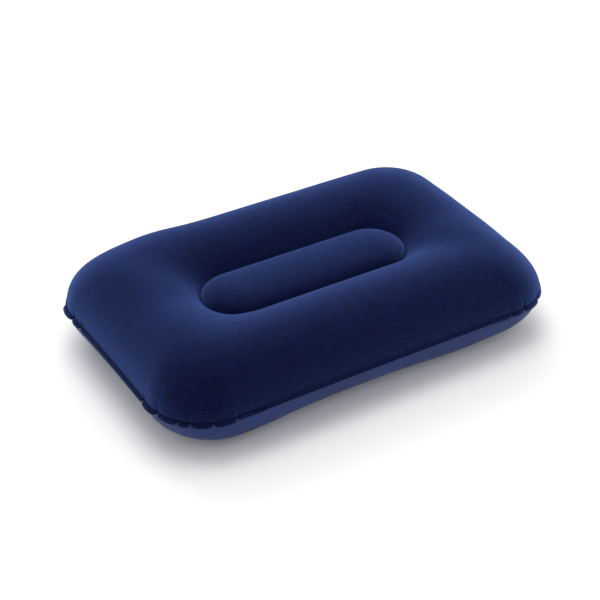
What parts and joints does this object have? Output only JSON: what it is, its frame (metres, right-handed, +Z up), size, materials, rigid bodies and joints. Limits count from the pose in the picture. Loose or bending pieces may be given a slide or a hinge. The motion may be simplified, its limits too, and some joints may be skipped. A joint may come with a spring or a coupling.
{
  "type": "inflatable camp pillow",
  "caption": "Inflatable rectangular camp pillow with a flocked top, a smooth underside, a sunken centre with a raised bolster, a thin welded edge and a flip-cap air valve.",
  "frame": {"origin": "on the surface the pillow rests on, under the middle of its outline", "axes": "+X along the pillow, +Y towards the long side that has the valve, +Z up through the flocked top"},
  "size_m": [0.4274, 0.2746, 0.0905],
  "materials": {
    "flocked_film": "velvety flock on vinyl film, navy blue",
    "smooth_film": "satin vinyl film, navy blue",
    "fused_film": "welded vinyl, navy blue",
    "inner_film": "satin vinyl film",
    "valve_vinyl": "soft moulded vinyl",
    "cap_vinyl": "soft moulded vinyl"
  },
  "bodies": {
    "root": {"top_sheet": "flocked_film", "bottom_sheet": "smooth_film", "perimeter_weld": "fused_film", "tension_band": "inner_film", "valve_flange": "valve_vinyl", "valve_collar": "valve_vinyl"},
    "stem": {"valve_stem": "valve_vinyl", "cap_strap": "cap_vinyl"},
    "cap": {"valve_cap": "cap_vinyl"},
    "flap": {"check_flap": "valve_vinyl"}
  },
  "joints": [
    {"name": "valve_pull", "type": "slide", "parent": "root", "child": "stem", "axis": [0, 0.8679, -0.4968], "range_m": [0, 0.012]},
    {"name": "cap_flip", "type": "hinge", "parent": "stem", "child": "cap", "pos_m": [0.056, 0.13016, 0.02136], "axis": [0, 0.4968, 0.8679], "range_deg": [0, 150]},
    {"name": "check_flap_swing", "type": "hinge", "parent": "stem", "child": "flap", "pos_m": [0.0614, 0.11662, 0.02911], "axis": [0, -0.4968, -0.8679], "range_deg": [0, 60], "stiffness_Nm_per_rad": 0.00005, "springref_deg": -17.19}
  ]
}
